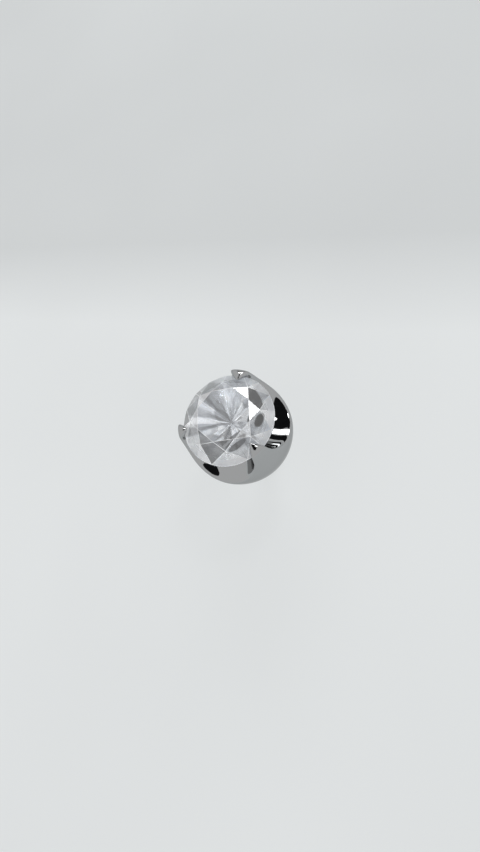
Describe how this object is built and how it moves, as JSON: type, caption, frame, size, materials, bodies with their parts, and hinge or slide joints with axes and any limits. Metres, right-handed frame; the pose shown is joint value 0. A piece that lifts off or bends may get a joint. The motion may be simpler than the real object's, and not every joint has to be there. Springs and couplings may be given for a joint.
{
  "type": "labret stud",
  "caption": "Labret stud: a round faceted stone held by claws that rise from a polished ball, on a straight post with a flat disc back.",
  "frame": {"origin": "middle of the underside of the flat back disc, on the surface that the stud stands on", "axes": "+Z along the post towards the stone; -Y towards the claw nearest the viewer"},
  "size_m": [0.0094, 0.0094, 0.013],
  "materials": {
    "post_steel": "polished surgical steel",
    "cup_steel": "mirror-polished surgical steel",
    "stone": "clear crystal, polished flat facets, silvery foil on the back"
  },
  "bodies": {
    "root": {"post_with_flat_back": "post_steel", "claw_cup": "cup_steel", "round_stone": "stone"}
  },
  "joints": []
}
